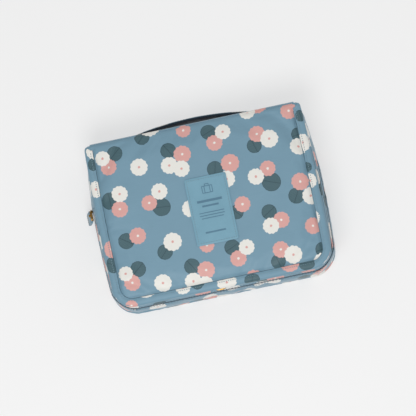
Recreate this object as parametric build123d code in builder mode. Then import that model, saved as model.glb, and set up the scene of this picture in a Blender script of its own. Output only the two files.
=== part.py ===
from build123d import *
import os

# A hanging toiletry bag, closed and lying on its back. Millimetres.
# X runs across the bag, +Y towards the handle and the fold, +Z out of the front.
# The origin is the middle of the back panel's outer face.

# --- overall sizes -----------------------------------------------------------
HEIGHT = 180.0            # bottom edge to fold
BODY_HALF_TOP = 117.5     # half widths of the body at the fold, middle and bottom
BODY_HALF_MID = 124.0
BODY_HALF_LOW = 120.0
BODY_CORNER = 24.0        # bottom corner radius of the body
TOP_CORNER = 5.0
REAR_DEPTH = 37.0         # back face to the rear edge of the zip opening
ZIP_OPENING = 6.0         # width of the slot that the zip fills
LID_DEPTH = 14.0          # zip opening to the lid's front face

# --- cloth and padding -------------------------------------------------------
CLOTH = 1.2               # padded outer cloth
LINING = 0.8
FOAM = 3.0
CLEAR = 0.3               # between soft pieces that move apart
BINDING = 1.2             # thickness of a rolled seam binding
BINDING_WIDTH = 5.0       # how far a body binding covers the wall

# --- zip ---------------------------------------------------------------------
ZIP_END = 26.0            # Y of both ends of the zip
TAPE = 0.8
TAPE_WIDTH = 9.0
COIL_WIDTH = 1.4
COIL_THICK = 1.8
COIL_GAP = 1.4            # between the two rows, where the slider's neck runs

# --- front flap --------------------------------------------------------------
FLAP_HALF_TOP = 118.0
FLAP_HALF_MID = 119.6
FLAP_HALF_LOW = 118.6
FLAP_CORNER = 21.0
FLAP_GAP = 5.0            # lid front to flap lining, room for hook and pocket
FLAP_BINDING_WIDTH = 8.0
FLAP_BINDING = 0.7
PATCH_WIDTH = 45.5
PATCH_HEIGHT = 73.5
PATCH_THICK = 1.2
PATCH_CENTRE = (2.5, -5.5)

# --- pocket on the flap's inner face -----------------------------------------
POCKET_HALF = 102.0
POCKET_TOP = 78.0
POCKET_ZIP = -10.0        # Y of the pocket's zip
POCKET_TRIM = 6.0
MESH = 0.5
POCKET_COIL = 3.0
POCKET_TAPE_WIDTH = 12.0

# --- hanging hook ------------------------------------------------------------
HOOK_X = -5.0
HOOK_OUTER = 12.0         # outer radius of the crook
HOOK_WIRE = 3.0           # width of the flat hook
HOOK_THICK = 2.0
HOOK_PEEK = 1.0           # how far the crook shows past the flap
HOOK_LENGTH = 40.0
EYE = (24.0, 8.0)
WEBBING_WIDTH = 18.0
WEBBING = 0.8
WEBBING_END = -22.0
SLEEVE = (-46.0, 6.0)     # Y of its middle, and its width

# --- fastener pads, handle, elastic loops, mesh pockets ----------------------
PAD = (26.0, 16.0)
PAD_X = 68.0
PAD_FROM_EDGE = 16.0
PAD_THICK = 2.2
HANDLE_SPAN = 164.0       # between the two stitched ends
HANDLE_END = 16.0
HANDLE_BOW = 10.5
HANDLE_STRAP = 2.4
HANDLE_WIDTH = 22.0
HANDLE_Z = 19.0
LOOP_COUNT = 5
LOOP_RADIUS = 15.0
LOOP_PITCH = 40.0
LOOP_WIDTH = 25.0
LOOP_Y = -20.0
ELASTIC = 1.2
MESH_POCKET = (104.0, 92.0)
MESH_POCKET_X = 55.0
MESH_POCKET_Y = -28.0

# --- zip slider, link and tab ------------------------------------------------
SLIDER_Y = 19.0
SLIDER = (12.0, 8.4)
SLIDER_PLATE = 1.2
SLIDER_CLEAR = 0.8        # slider to zip, enough for the wall's gentle bow
NECK = 0.8
BRIDGE = 5.6              # the bridge that the link hangs from
BRIDGE_POST = 1.2
BRIDGE_GAP = 1.8
LINK_WIRE = 1.1
LINK_WIDE = 10.0
LINK_DROP = 6.0
TAB = (13.0, 23.0)
TAB_NECK = 7.2
TAB_THICK = 2.6
TAB_LEAN = 10.0           # degrees that the tab stands off the swell of the wall

# --- what follows from the sizes above ---------------------------------------
LID_START = REAR_DEPTH + ZIP_OPENING
PAD_Y = PAD_FROM_EDGE - HEIGHT / 2
LID_FRONT = LID_START + LID_DEPTH
ZIP_MIDDLE = REAR_DEPTH + ZIP_OPENING / 2
FLAP_INSIDE = LID_FRONT + FLAP_GAP
FLAP_FOAM = FLAP_INSIDE + LINING
FLAP_CLOTH = FLAP_FOAM + FOAM
FLAP_FRONT = FLAP_CLOTH + CLOTH
FLAP_TOP = HEIGHT / 2 - CLEAR
FLAP_BOTTOM = -HEIGHT / 2
FLOOR = CLOTH + FOAM
FLOOR_TOP = FLOOR + LINING
LID_CEILING = LID_FRONT - CLOTH - FOAM
MESH_Z = FLAP_INSIDE - CLEAR - MESH


def outline(half_top, half_mid, half_low, top, bottom, low_radius):
    """A panel with gently bowed sides and rounded corners."""
    middle = (top + bottom) / 2
    with BuildSketch(mode=Mode.PRIVATE) as shape:
        with BuildLine():
            right = ThreePointArc((half_top, top), (half_mid, middle), (half_low, bottom))
            low = Line(right @ 1, (-half_low, bottom))
            left = ThreePointArc(low @ 1, (-half_mid, middle), (-half_top, top))
            Line(left @ 1, right @ 0)
        make_face()
        fillet(shape.vertices().group_by(Axis.Y)[0], low_radius)
        fillet(shape.vertices().group_by(Axis.Y)[-1], TOP_CORNER)
    return shape.sketch


def grown(shape, amount):
    """A panel outline moved outwards, or inwards with a negative amount."""
    return offset(shape, amount=amount, mode=Mode.PRIVATE)


body = outline(BODY_HALF_TOP, BODY_HALF_MID, BODY_HALF_LOW, HEIGHT / 2, -HEIGHT / 2, BODY_CORNER)
flap = outline(FLAP_HALF_TOP, FLAP_HALF_MID, FLAP_HALF_LOW, FLAP_TOP, FLAP_BOTTOM, FLAP_CORNER)
inside_wall = grown(body, -CLOTH)
inside_tape = grown(body, -CLOTH - TAPE)
inside_lining = grown(body, -CLOTH - TAPE - LINING)
SPAN = 2 * BODY_HALF_MID + 40.0
os.makedirs("parts", exist_ok=True)


def save(piece, name):
    piece.part.label = name
    export_step(piece.part, f"parts/{name}.step")


# --- rear half ---------------------------------------------------------------
with BuildPart() as back_panel:
    with BuildSketch():
        add(inside_wall)
    extrude(amount=CLOTH)
save(back_panel, "back_panel")

with BuildPart() as back_foam:
    with BuildSketch(Plane.XY.offset(CLOTH)):
        add(inside_wall)
    extrude(amount=FOAM)
save(back_foam, "back_foam")

with BuildPart() as rear_gusset:
    with BuildSketch():
        add(body)
        add(inside_wall, mode=Mode.SUBTRACT)
    extrude(amount=REAR_DEPTH)
save(rear_gusset, "rear_gusset")

with BuildPart() as rear_lining:
    with BuildSketch(Plane.XY.offset(FLOOR)):
        add(inside_tape)
    extrude(amount=REAR_DEPTH - FLOOR - 1.0)
    with BuildSketch(Plane.XY.offset(FLOOR_TOP)):
        add(inside_lining)
    extrude(amount=REAR_DEPTH, mode=Mode.SUBTRACT)
save(rear_lining, "rear_lining")

with BuildPart() as back_binding:
    with BuildSketch():
        add(grown(body, BINDING))
        add(body, mode=Mode.SUBTRACT)
    extrude(amount=BINDING_WIDTH)
    fillet(back_binding.faces().sort_by(Axis.Z)[-1].outer_wire().edges(), BINDING * 0.6)
save(back_binding, "back_binding")

# The gusset isn't slit above the zip's ends: there the same cloth runs on to the lid and folds.
with BuildPart() as fold_gusset:
    with BuildSketch(Plane.XY.offset(REAR_DEPTH)):
        add(body)
        add(inside_wall, mode=Mode.SUBTRACT)
        with Locations((0, ZIP_END + 2.0 - HEIGHT)):
            Rectangle(SPAN, 2 * HEIGHT, mode=Mode.SUBTRACT)
    extrude(amount=ZIP_OPENING - CLEAR)
save(fold_gusset, "fold_gusset")


def zip_strip(start, width, outer, inner):
    """One side of the main zip: a band inside the wall, from end to end of the zip."""
    with BuildPart(mode=Mode.PRIVATE) as strip:
        with BuildSketch(Plane.XY.offset(start)):
            add(outer)
            add(inner, mode=Mode.SUBTRACT)
            with Locations((0, ZIP_END + HEIGHT)):
                Rectangle(SPAN, 2 * HEIGHT, mode=Mode.SUBTRACT)
        extrude(amount=width)
    return strip


COIL_OUTER = grown(body, COIL_THICK - CLOTH)
TAPE_EDGE = COIL_GAP / 2 + 0.2
zip_tape_rear = zip_strip(ZIP_MIDDLE - TAPE_EDGE - TAPE_WIDTH, TAPE_WIDTH, inside_wall, inside_tape)
save(zip_tape_rear, "zip_tape_rear")
zip_tape_lid = zip_strip(ZIP_MIDDLE + TAPE_EDGE, TAPE_WIDTH, inside_wall, inside_tape)
save(zip_tape_lid, "zip_tape_lid")
zip_coil_rear = zip_strip(ZIP_MIDDLE - COIL_GAP / 2 - COIL_WIDTH, COIL_WIDTH, COIL_OUTER, inside_wall)
save(zip_coil_rear, "zip_coil_rear")
zip_coil_lid = zip_strip(ZIP_MIDDLE + COIL_GAP / 2, COIL_WIDTH, COIL_OUTER, inside_wall)
save(zip_coil_lid, "zip_coil_lid")

# Stops close both ends of the rear row, just above it.
with BuildPart() as zip_stops:
    with BuildSketch(Plane.XY.offset(ZIP_MIDDLE - COIL_GAP / 2 - COIL_WIDTH)):
        add(COIL_OUTER)
        add(inside_wall, mode=Mode.SUBTRACT)
        with Locations((0, ZIP_END + HEIGHT + 1.6), (0, ZIP_END - HEIGHT)):
            Rectangle(SPAN, 2 * HEIGHT, mode=Mode.SUBTRACT)
    extrude(amount=COIL_WIDTH)
save(zip_stops, "zip_stops")

# Elastic loops stand on the rear floor in a row, stitched down between the arches.
with BuildPart() as bottle_loops:
    with BuildSketch(Plane.XZ.offset(-LOOP_Y - LOOP_WIDTH / 2)):
        with Locations((0, FLOOR_TOP + ELASTIC / 2)):
            Rectangle(LOOP_PITCH * LOOP_COUNT, ELASTIC)
        with Locations(*[(LOOP_PITCH * (i - (LOOP_COUNT - 1) / 2), FLOOR_TOP) for i in range(LOOP_COUNT)]):
            Circle(LOOP_RADIUS + ELASTIC)
            Circle(LOOP_RADIUS, mode=Mode.SUBTRACT)
        with Locations((0, FLOOR_TOP - LOOP_RADIUS)):
            Rectangle(SPAN, 2 * LOOP_RADIUS, mode=Mode.SUBTRACT)
    extrude(amount=LOOP_WIDTH)
save(bottle_loops, "bottle_loops")

# The handle is one strap, bowed away from the top wall between its stitched ends.
with BuildPart() as carry_handle:
    wall = HEIGHT / 2
    outside = wall + HANDLE_STRAP
    bow_x = HANDLE_SPAN / 2
    end_x = bow_x + HANDLE_END
    with BuildSketch(Plane.XY.offset(HANDLE_Z - HANDLE_WIDTH / 2)):
        with BuildLine():
            inner = ThreePointArc((-bow_x, wall), (0, wall + HANDLE_BOW), (bow_x, wall))
            Polyline(inner @ 1, (end_x, wall), (end_x, outside), (bow_x, outside))
            ThreePointArc((bow_x, outside), (0, outside + HANDLE_BOW), (-bow_x, outside))
            Polyline((-bow_x, outside), (-end_x, outside), (-end_x, wall), inner @ 0)
        make_face()
    extrude(amount=HANDLE_WIDTH)
save(carry_handle, "carry_handle")

# --- lid ---------------------------------------------------------------------
with BuildPart() as lid_panel:
    with BuildSketch(Plane.XY.offset(LID_FRONT - CLOTH)):
        add(inside_wall)
    extrude(amount=CLOTH)
save(lid_panel, "lid_panel")

with BuildPart() as lid_foam:
    with BuildSketch(Plane.XY.offset(LID_CEILING)):
        add(inside_wall)
    extrude(amount=FOAM)
save(lid_foam, "lid_foam")

with BuildPart() as lid_gusset:
    with BuildSketch(Plane.XY.offset(LID_START)):
        add(body)
        add(inside_wall, mode=Mode.SUBTRACT)
    extrude(amount=LID_DEPTH)
save(lid_gusset, "lid_gusset")

with BuildPart() as lid_lining:
    with BuildSketch(Plane.XY.offset(LID_START + 1.0)):
        add(inside_tape)
    extrude(amount=LID_CEILING - LID_START - 1.0)
    with BuildSketch(Plane.XY.offset(LID_START)):
        add(inside_lining)
    extrude(amount=LID_CEILING - LINING - LID_START, mode=Mode.SUBTRACT)
save(lid_lining, "lid_lining")

with BuildPart() as lid_binding:
    with BuildSketch(Plane.XY.offset(LID_FRONT - BINDING_WIDTH)):
        add(grown(body, BINDING))
        add(body, mode=Mode.SUBTRACT)
    extrude(amount=BINDING_WIDTH)
    with BuildSketch(Plane.XY.offset(LID_FRONT)):
        add(grown(body, BINDING))
        add(grown(body, -BINDING_WIDTH), mode=Mode.SUBTRACT)
    extrude(amount=LINING)
    fillet(lid_binding.faces().sort_by(Axis.Z)[-1].outer_wire().edges(), BINDING * 0.6)
save(lid_binding, "lid_binding")

pocket_z = LID_CEILING - LINING - MESH
for side, side_name in ((-1, "left"), (1, "right")):
    with BuildPart() as mesh_pocket:
        with BuildSketch(Plane.XY.offset(pocket_z)):
            with Locations((side * MESH_POCKET_X, MESH_POCKET_Y)):
                RectangleRounded(*MESH_POCKET, 6.0)
        extrude(amount=MESH)
    save(mesh_pocket, f"mesh_pocket_{side_name}")
    with BuildPart() as pocket_elastic:
        with BuildSketch(Plane.XY.offset(pocket_z - ELASTIC)):
            with Locations((side * MESH_POCKET_X, MESH_POCKET_Y + MESH_POCKET[1] / 2 - 4.0)):
                Rectangle(MESH_POCKET[0], 8.0)
        extrude(amount=ELASTIC)
    save(pocket_elastic, f"pocket_elastic_{side_name}")

with BuildPart() as lid_fastener_pads:
    with BuildSketch(Plane.XY.offset(LID_FRONT)):
        with Locations((-PAD_X, PAD_Y), (PAD_X, PAD_Y)):
            RectangleRounded(*PAD, 2.0)
    extrude(amount=PAD_THICK)
save(lid_fastener_pads, "lid_fastener_pads")

# --- front flap --------------------------------------------------------------
with BuildPart() as flap_lining:
    with BuildSketch(Plane.XY.offset(FLAP_INSIDE)):
        add(flap)
    extrude(amount=LINING)
save(flap_lining, "flap_lining")

with BuildPart() as flap_foam:
    with BuildSketch(Plane.XY.offset(FLAP_FOAM)):
        add(flap)
    extrude(amount=FOAM)
save(flap_foam, "flap_foam")

with BuildPart() as flap_panel:
    with BuildSketch(Plane.XY.offset(FLAP_CLOTH)):
        add(flap)
    extrude(amount=CLOTH)
save(flap_panel, "flap_panel")

# The rolled binding wraps the flap's left, bottom and right edges.
with BuildPart() as flap_binding:
    with BuildSketch(Plane.XY.offset(FLAP_INSIDE - FLAP_BINDING)):
        add(grown(flap, FLAP_BINDING))
    extrude(amount=FLAP_FRONT - FLAP_INSIDE + 2 * FLAP_BINDING)
    with BuildSketch(Plane.XY.offset(FLAP_INSIDE)):
        add(flap)
    extrude(amount=FLAP_FRONT - FLAP_INSIDE, mode=Mode.SUBTRACT)
    with BuildSketch():
        add(grown(flap, -FLAP_BINDING_WIDTH))
        with Locations((0, HEIGHT / 2)):
            Rectangle(2 * (FLAP_HALF_TOP - FLAP_BINDING_WIDTH), HEIGHT)
        with Locations((0, FLAP_TOP - TOP_CORNER + HEIGHT)):
            Rectangle(SPAN, 2 * HEIGHT)
    extrude(amount=FLAP_FRONT + CLOTH, mode=Mode.SUBTRACT)
save(flap_binding, "flap_binding")

with BuildPart() as label_patch:
    with BuildSketch(Plane.XY.offset(FLAP_FRONT)):
        with Locations(PATCH_CENTRE):
            RectangleRounded(PATCH_WIDTH, PATCH_HEIGHT, 2.5)
    extrude(amount=PATCH_THICK)
    fillet(label_patch.faces().sort_by(Axis.Z)[-1].outer_wire().edges(), 0.4)
save(label_patch, "label_patch")

# The strip that folds between the lid's top wall and the flap.
with BuildPart() as flap_hinge:
    with BuildSketch(Plane.XY.offset(LID_FRONT - BINDING_WIDTH + 0.2)):
        with Locations((0, HEIGHT / 2 + BINDING + LINING / 2)):
            Rectangle(2 * FLAP_HALF_TOP - 4 * TOP_CORNER, LINING)
    extrude(amount=FLAP_FRONT - LID_FRONT + BINDING_WIDTH - 0.2)
save(flap_hinge, "flap_hinge")

with BuildPart() as flap_fastener_pads:
    with BuildSketch(Plane.XY.offset(LID_FRONT + PAD_THICK + CLEAR)):
        with Locations((-PAD_X, PAD_Y), (PAD_X, PAD_Y)):
            RectangleRounded(*PAD, 2.0)
    extrude(amount=FLAP_GAP - PAD_THICK - CLEAR)
save(flap_fastener_pads, "flap_fastener_pads")

# --- zipped mesh pocket inside the flap --------------------------------------
POCKET_MIDDLE = (POCKET_TOP + POCKET_ZIP) / 2
POCKET_TALL = POCKET_TOP - POCKET_ZIP
with BuildPart() as flap_pocket_mesh:
    with BuildSketch(Plane.XY.offset(MESH_Z)):
        with Locations((0, POCKET_MIDDLE)):
            Rectangle(2 * POCKET_HALF, POCKET_TALL)
        with Locations((0, POCKET_ZIP)):
            Rectangle(2 * POCKET_HALF, POCKET_TAPE_WIDTH, mode=Mode.SUBTRACT)
    extrude(amount=MESH)
save(flap_pocket_mesh, "flap_pocket_mesh")

with BuildPart() as flap_pocket_trim:
    with BuildSketch(Plane.XY.offset(MESH_Z - MESH)):
        with Locations((0, POCKET_MIDDLE)):
            RectangleRounded(2 * (POCKET_HALF + POCKET_TRIM), POCKET_TALL + POCKET_TRIM * 3, POCKET_TRIM)
            Rectangle(2 * POCKET_HALF, POCKET_TALL, mode=Mode.SUBTRACT)
        with Locations((0, POCKET_ZIP)):
            Rectangle(2 * POCKET_HALF, POCKET_TAPE_WIDTH, mode=Mode.SUBTRACT)
    extrude(amount=MESH + MESH + CLEAR)
save(flap_pocket_trim, "flap_pocket_trim")

with BuildPart() as pocket_zip_tape:
    with BuildSketch(Plane.XY.offset(MESH_Z)):
        with Locations((0, POCKET_ZIP)):
            Rectangle(2 * POCKET_HALF, POCKET_TAPE_WIDTH)
    extrude(amount=MESH)
save(pocket_zip_tape, "pocket_zip_tape")

with BuildPart() as pocket_zip_coil:
    with BuildSketch(Plane.XY.offset(MESH_Z - COIL_WIDTH)):
        with Locations((0, POCKET_ZIP)):
            Rectangle(2 * POCKET_HALF, POCKET_COIL)
    extrude(amount=COIL_WIDTH)
save(pocket_zip_coil, "pocket_zip_coil")

# The pocket's slider saddles the coil. Its cloth pull lies flat beside it.
slider_z = MESH_Z - COIL_WIDTH - CLEAR - 1.0
slider_x = -POCKET_HALF + 8.0
with BuildPart() as pocket_slider:
    with BuildSketch(Plane.XY.offset(slider_z)):
        with Locations((slider_x, POCKET_ZIP)):
            Rectangle(9.0, POCKET_COIL + 2 * CLEAR + 2.0)
    extrude(amount=1.0)
    with BuildSketch(Plane.XY.offset(slider_z)):
        with Locations((slider_x, POCKET_ZIP)):
            Rectangle(9.0, POCKET_COIL + 2 * CLEAR + 2.0)
            Rectangle(9.0, POCKET_COIL + 2 * CLEAR, mode=Mode.SUBTRACT)
    extrude(amount=COIL_WIDTH + 1.0)
save(pocket_slider, "pocket_slider")

with BuildPart() as pocket_pull:
    with BuildSketch(Plane.XY.offset(slider_z)):
        with Locations((slider_x, POCKET_ZIP - POCKET_COIL / 2 - CLEAR - 1.0 - 11.0)):
            RectangleRounded(6.0, 22.0, 2.0)
    extrude(amount=1.0)
save(pocket_pull, "pocket_pull")

# --- hanging hook, stowed under the flap with its crook at the free edge ------
hook_z = LID_FRONT + LINING + 1.0
crook_y = FLAP_BOTTOM - FLAP_BINDING - HOOK_PEEK + HOOK_OUTER
eye_y = crook_y - HOOK_OUTER + HOOK_LENGTH - EYE[1] / 2
with BuildPart() as hanging_hook:
    with BuildSketch(Plane.XY.offset(hook_z)):
        with Locations((HOOK_X, crook_y)):
            Circle(HOOK_OUTER)
            Circle(HOOK_OUTER - HOOK_WIRE, mode=Mode.SUBTRACT)
        with Locations((HOOK_X + HOOK_OUTER / 2 + 1.0, crook_y + HOOK_OUTER / 2 + 1.0)):
            Rectangle(HOOK_OUTER, HOOK_OUTER + 1.0, mode=Mode.SUBTRACT)
        with Locations((HOOK_X, (crook_y + HOOK_OUTER - HOOK_WIRE + eye_y - EYE[1] / 2) / 2)):
            Rectangle(HOOK_WIRE, eye_y - EYE[1] / 2 - crook_y - HOOK_OUTER + HOOK_WIRE + 2.0)
        with Locations((HOOK_X, eye_y)):
            RectangleRounded(*EYE, 2.0)
            RectangleRounded(EYE[0] - 4.4, EYE[1] - 4.4, 1.0, mode=Mode.SUBTRACT)
    extrude(amount=HOOK_THICK)
save(hanging_hook, "hanging_hook")

webbing_z = hook_z + HOOK_THICK + 0.2
with BuildPart() as hook_webbing:
    slot = eye_y
    with BuildSketch(Plane.XY.offset(webbing_z)):
        with Locations((HOOK_X, (slot + WEBBING_END) / 2)):
            Rectangle(WEBBING_WIDTH, WEBBING_END - slot + WEBBING)
    extrude(amount=WEBBING)
    with BuildSketch(Plane.XY.offset(hook_z - WEBBING)):
        with Locations((HOOK_X, slot)):
            Rectangle(WEBBING_WIDTH, WEBBING)
    extrude(amount=HOOK_THICK + 2 * WEBBING)
    with BuildSketch(Plane.XY.offset(hook_z - WEBBING)):
        with Locations((HOOK_X, slot + 5.0)):
            Rectangle(WEBBING_WIDTH, 10.0 + WEBBING)
    extrude(amount=WEBBING - 0.1)
save(hook_webbing, "hook_webbing")

# A flat sleeve, stitched to the flap's lining, holds the webbing.
sleeve_low = webbing_z - CLEAR - LINING
with BuildPart() as hook_sleeve:
    with BuildSketch(Plane.XY.offset(sleeve_low)):
        with Locations((HOOK_X, SLEEVE[0])):
            Rectangle(WEBBING_WIDTH + 8.0, SLEEVE[1])
    extrude(amount=FLAP_INSIDE - sleeve_low)
    with BuildSketch(Plane.XY.offset(sleeve_low + LINING)):
        with Locations((HOOK_X, SLEEVE[0])):
            Rectangle(WEBBING_WIDTH + 2 * CLEAR, SLEEVE[1] + 2.0)
    extrude(amount=FLAP_INSIDE, mode=Mode.SUBTRACT)
save(hook_sleeve, "hook_sleeve")

# --- zip slider, link and tab, on the left wall ------------------------------
wall_bow = (BODY_HALF_MID - BODY_HALF_TOP) * (2 * SLIDER_Y / HEIGHT) ** 2
plate_x = -(BODY_HALF_MID - wall_bow + COIL_THICK - CLOTH + SLIDER_CLEAR)
slider_plane = Plane(origin=(plate_x, SLIDER_Y, ZIP_MIDDLE), x_dir=(0, -1, 0), z_dir=(-1, 0, 0))
slider_inside = -(COIL_THICK + TAPE + 2 * SLIDER_CLEAR)
pivot = SLIDER_PLATE + BRIDGE_GAP / 2
with BuildPart() as zip_slider:
    with BuildSketch(slider_plane):
        RectangleRounded(*SLIDER, 1.8)
    extrude(amount=SLIDER_PLATE)
    with BuildSketch(slider_plane.offset(slider_inside)):
        with Locations((2.0 - SLIDER[0] / 2, 0)):
            Rectangle(3.0, NECK)
    extrude(amount=-slider_inside)
    with BuildSketch(slider_plane.offset(slider_inside)):
        Rectangle(SLIDER[0] - 1.0, ZIP_OPENING - 1.0)
    extrude(amount=-SLIDER_PLATE)
    with BuildSketch(slider_plane.offset(SLIDER_PLATE)):
        with GridLocations(0, BRIDGE - BRIDGE_POST, 1, 2):
            Rectangle(2.4, BRIDGE_POST)
    extrude(amount=BRIDGE_GAP)
    with BuildSketch(slider_plane.offset(SLIDER_PLATE + BRIDGE_GAP)):
        Rectangle(2.4, BRIDGE)
    extrude(amount=LINK_WIRE)
save(zip_slider, "zip_slider")

# The link is a flat ring that hangs from the slider's bridge, close to the wall.
link_plane = slider_plane.offset(pivot - LINK_WIRE / 2)
with BuildPart() as puller_link:
    with BuildSketch(link_plane):
        with Locations((0, -LINK_DROP / 2)):
            Rectangle(LINK_WIDE, LINK_DROP + LINK_WIRE)
            Rectangle(LINK_WIDE - 2 * LINK_WIRE, LINK_DROP - LINK_WIRE, mode=Mode.SUBTRACT)
    extrude(amount=LINK_WIRE)
save(puller_link, "puller_link")

# The tab is a folded strip of cloth. Its neck loops round the link's lower wire.
tab_x = plate_x - pivot
loop_z = ZIP_MIDDLE - LINK_DROP
with BuildPart() as puller_tab:
    with BuildSketch(Plane.XZ.offset(-SLIDER_Y - TAB_NECK / 2)):
        with Locations((tab_x, loop_z)):
            Circle(TAB_THICK / 2 + 0.2)
        with Locations((tab_x, loop_z - 2.0)):
            Rectangle(TAB_THICK, 4.0)
        with Locations((tab_x, loop_z)):
            Circle(LINK_WIRE * 0.8, mode=Mode.SUBTRACT)
    extrude(amount=TAB_NECK)
    with BuildSketch(Plane.XZ.offset(-SLIDER_Y - TAB[0] / 2)):
        with Locations((tab_x, loop_z - 2.5 - TAB[1] / 2)):
            Rectangle(TAB_THICK, TAB[1])
    extrude(amount=TAB[0])
    fillet(puller_tab.edges().filter_by(Axis.X).group_by(Axis.Z)[0], 3.0)
lower_wire = Axis((tab_x, SLIDER_Y, loop_z), (0, 1, 0))
puller_tab.part = puller_tab.part.rotate(lower_wire, TAB_LEAN)
save(puller_tab, "puller_tab")
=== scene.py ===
import bpy
import math
from mathutils import Matrix, Vector, noise


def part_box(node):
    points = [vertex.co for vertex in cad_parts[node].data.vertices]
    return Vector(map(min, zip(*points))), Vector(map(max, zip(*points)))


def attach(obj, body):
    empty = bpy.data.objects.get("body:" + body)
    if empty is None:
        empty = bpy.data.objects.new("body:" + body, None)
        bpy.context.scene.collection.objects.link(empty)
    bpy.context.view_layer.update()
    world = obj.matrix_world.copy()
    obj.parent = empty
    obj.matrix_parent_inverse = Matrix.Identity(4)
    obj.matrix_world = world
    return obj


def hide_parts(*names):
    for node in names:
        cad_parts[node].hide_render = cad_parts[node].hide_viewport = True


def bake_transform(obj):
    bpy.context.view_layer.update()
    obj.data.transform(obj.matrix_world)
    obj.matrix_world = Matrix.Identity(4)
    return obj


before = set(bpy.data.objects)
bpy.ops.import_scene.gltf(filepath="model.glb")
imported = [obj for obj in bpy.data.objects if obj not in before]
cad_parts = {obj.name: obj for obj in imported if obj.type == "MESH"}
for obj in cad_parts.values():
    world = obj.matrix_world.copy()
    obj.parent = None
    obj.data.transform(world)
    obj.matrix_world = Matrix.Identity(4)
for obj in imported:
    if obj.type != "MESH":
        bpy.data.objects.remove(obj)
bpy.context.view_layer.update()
MM = 0.001

# ---------------------------------------------------------------- sizes from the frame
body_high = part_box("rear_gusset")[1]
lid_low, lid_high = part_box("lid_gusset")
patch_low, patch_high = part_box("label_patch")
handle_low, handle_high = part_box("carry_handle")

HALF_HEIGHT = body_high.y
SPLIT_REAR = body_high.z
SPLIT_LID = lid_low.z
LID_FRONT = lid_high.z
FLAP_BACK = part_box("flap_lining")[0].z
FLAP_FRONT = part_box("flap_panel")[1].z
ZIP_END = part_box("zip_coil_rear")[1].y
CLOTH = 1.2 * MM

# Half widths at the fold, the middle and the free edge, then the lower corner radius.
BODY = (117.5 * MM, 124.0 * MM, 120.0 * MM, 24.0 * MM)
FLAP = (118.0 * MM, 119.6 * MM, 118.6 * MM, 21.0 * MM)
LEAN = 3.4 * MM
TAB_LEAN = math.radians(10)
SEAM_INSET, SEAM_WIDTH, SEAM_DEPTH = 8.7 * MM, 1.7 * MM, 1.7 * MM
LEAN_START = SPLIT_LID + 0.5 * MM
TOP_CORNER = 5.0 * MM
SWELL_STEPS = 20
UP, DOWN = Vector((0, 0, 1)), Vector((0, 0, -1))


# ---------------------------------------------------------------- working by hand
def only(*objects):
    """Selects these objects alone, and makes the first one active."""
    bpy.ops.object.select_all(action="DESELECT")
    for o in objects:
        o.select_set(True)
    bpy.context.view_layer.objects.active = objects[0]


def start_edit(obj, select="SELECT"):
    """Opens a piece in edit mode, with all of it selected, or none."""
    only(obj)
    bpy.ops.object.mode_set(mode="EDIT")
    bpy.ops.mesh.select_all(action=select)


def end_edit():
    bpy.ops.object.mode_set(mode="OBJECT")


def new_object(name, data):
    """An object in the scene that holds this mesh, curve, lamp or camera."""
    obj = bpy.data.objects.new(name, data)
    bpy.context.collection.objects.link(obj)
    return obj


def settle(obj):
    """Puts the object's place into its mesh."""
    only(obj)
    bpy.ops.object.transform_apply(location=True, rotation=True, scale=True)
    return obj


def finish_modifiers(obj):
    """Applies the piece's modifiers in their order."""
    only(obj)
    for modifier in list(obj.modifiers):
        bpy.ops.object.modifier_apply(modifier=modifier.name)
    return obj


def smooth(obj, angle=50):
    """Smooth shading, with a crease wherever faces meet at more than the angle."""
    only(obj)
    bpy.ops.object.shade_smooth_by_angle(angle=math.radians(angle))
    return obj


def outwards(obj):
    """Merges doubled points and turns every face outwards."""
    start_edit(obj)
    bpy.ops.mesh.remove_doubles(threshold=0.02 * MM)
    bpy.ops.mesh.normals_make_consistent(inside=False)
    end_edit()
    return obj


def modifier(obj, kind, **settings):
    """Adds a modifier with these settings."""
    m = obj.modifiers.new(kind.lower(), kind)
    for key, value in settings.items():
        setattr(m, key, value)
    return m


def thickened(obj, thickness, offset=0, finer=False):
    """Gives a sheet of cloth its thickness, after one subdivision where finer says so."""
    if finer:
        modifier(obj, "SUBSURF", levels=1, render_levels=1)
    modifier(obj, "SOLIDIFY", thickness=thickness, offset=offset)
    return finish_modifiers(obj)


def piece(obj, name, body, material, slot, *replaced):
    """Names a finished piece, gives it its material and fixes it to its body."""
    obj.name = obj.data.name = name
    obj.data.materials.clear()
    obj.data.materials.append(material)
    if body:
        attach(obj, body)
    if replaced:
        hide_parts(*replaced)
    return obj


def join(objects):
    """Makes several shapes one."""
    only(*objects)
    bpy.ops.object.join()
    return bpy.context.object


# ---------------------------------------------------------------- the bag's outline
def half_width(shape, y):
    """Half the width at a height: the sides bow out between the fold and the free edge."""
    top, middle, low, _ = shape
    share = max(-1.0, min(1.0, y / HALF_HEIGHT))
    return middle - (middle - (top if share > 0 else low)) * share * share


def outlined(shape, u, v, inset=0.0):
    """A point of the panel: u and v run from -1 to 1, and a square corner is drawn into a round one."""
    half = HALF_HEIGHT - inset
    y = v * half
    x = u * (half_width(shape, y) - inset)
    for radius, end in ((max(shape[3] - inset, MM), -1), (max(TOP_CORNER - inset, MM), 1)):
        corner_x = half_width(shape, y) - inset - radius
        corner_y = half - radius
        if abs(x) > corner_x and y * end > corner_y:
            a = (abs(x) - corner_x) / radius
            b = (y * end - corner_y) / radius
            x = math.copysign(corner_x + radius * a * math.sqrt(1 - b * b / 2), x)
            y = end * (corner_y + radius * b * math.sqrt(1 - a * a / 2))
    return x, y


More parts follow.
